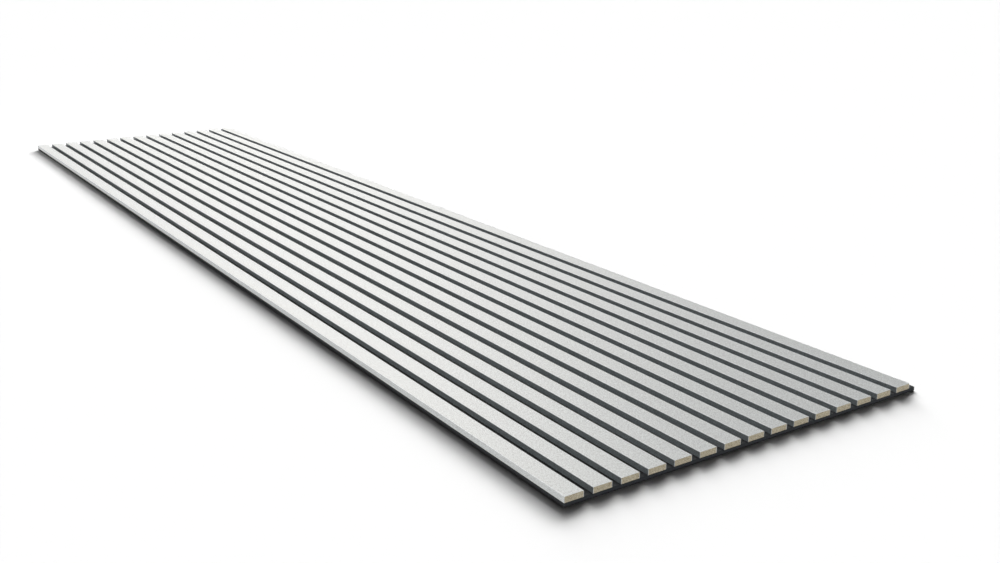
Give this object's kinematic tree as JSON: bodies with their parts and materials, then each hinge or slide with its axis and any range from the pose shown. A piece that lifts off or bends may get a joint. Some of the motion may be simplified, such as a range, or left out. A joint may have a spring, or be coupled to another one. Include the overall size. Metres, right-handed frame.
{
  "type": "slatted acoustic wall panel",
  "caption": "Long flat acoustic panel: foil-wrapped wooden slats run side by side along a dark felt backing, with open grooves between them.",
  "frame": {"origin": "middle of the felt's back face, which lies on the floor", "axes": "+Y along the slats, away from the near end; +X across the slats, towards the side where the felt runs on past the last slat; +Z out of the slatted face"},
  "size_m": [0.6, 2.6, 0.014],
  "materials": {
    "felt": "matt needled felt",
    "foil": "satin",
    "board": "raw fibreboard, sawn"
  },
  "bodies": {
    "root": {"felt_backing": "felt", "slat_core_01": "board", "slat_core_02": "board", "slat_core_03": "board", "slat_core_04": "board", "slat_core_05": "board", "slat_core_06": "board", "slat_core_07": "board", "slat_core_08": "board", "slat_core_09": "board", "slat_core_10": "board", "slat_core_11": "board", "slat_core_12": "board", "slat_core_13": "board", "slat_core_14": "board", "slat_core_15": "board", "slat_wrap_01": "foil", "slat_wrap_02": "foil", "slat_wrap_03": "foil", "slat_wrap_04": "foil", "slat_wrap_05": "foil", "slat_wrap_06": "foil", "slat_wrap_07": "foil", "slat_wrap_08": "foil", "slat_wrap_09": "foil", "slat_wrap_10": "foil", "slat_wrap_11": "foil", "slat_wrap_12": "foil", "slat_wrap_13": "foil", "slat_wrap_14": "foil", "slat_wrap_15": "foil"}
  },
  "joints": []
}
